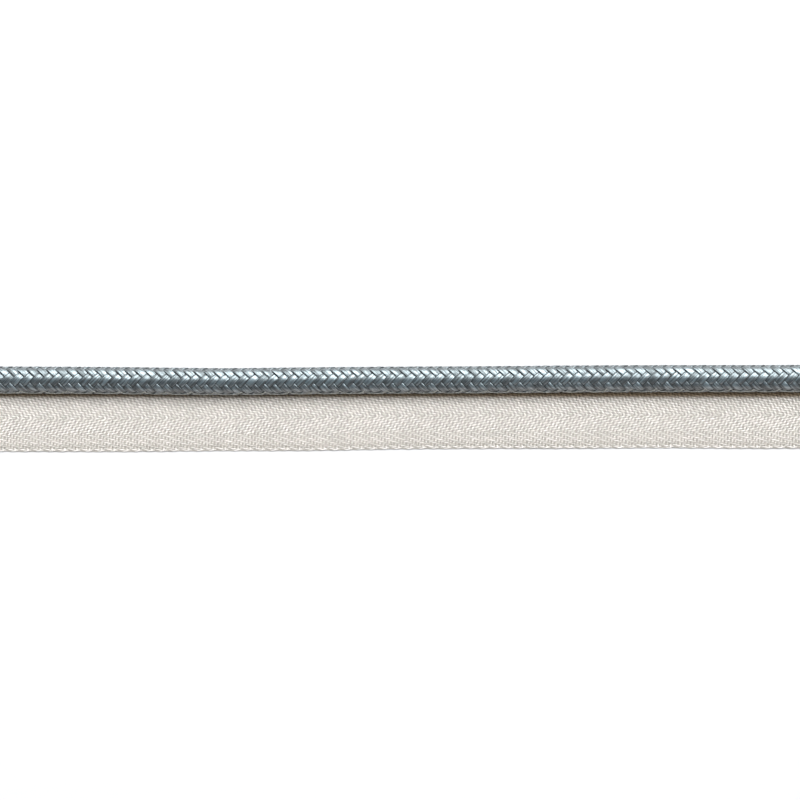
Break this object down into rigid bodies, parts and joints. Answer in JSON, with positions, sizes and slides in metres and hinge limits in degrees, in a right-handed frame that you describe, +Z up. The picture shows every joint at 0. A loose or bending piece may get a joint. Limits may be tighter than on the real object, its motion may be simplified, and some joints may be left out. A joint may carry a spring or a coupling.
{
  "type": "silk lip cord",
  "caption": "Cut length of braided silk cord with a flat herringbone twill tape along one side, for sewing into the seams of cushions and curtains.",
  "frame": {"origin": "on the surface that the part lies on, under the middle of its box", "axes": "+X along the cord, +Y across it from the tape's free edge towards the cord, +Z up from the surface"},
  "size_m": [0.2, 0.0196, 0.0073],
  "materials": {
    "silk": "glossy blue-grey silk yarn, braided",
    "cotton_tape": "matt unbleached cotton, herringbone twill",
    "sewing_thread": "fine pale sewing thread"
  },
  "bodies": {
    "root": {"braided_cord": "silk", "lip_tape": "cotton_tape"}
  },
  "joints": []
}
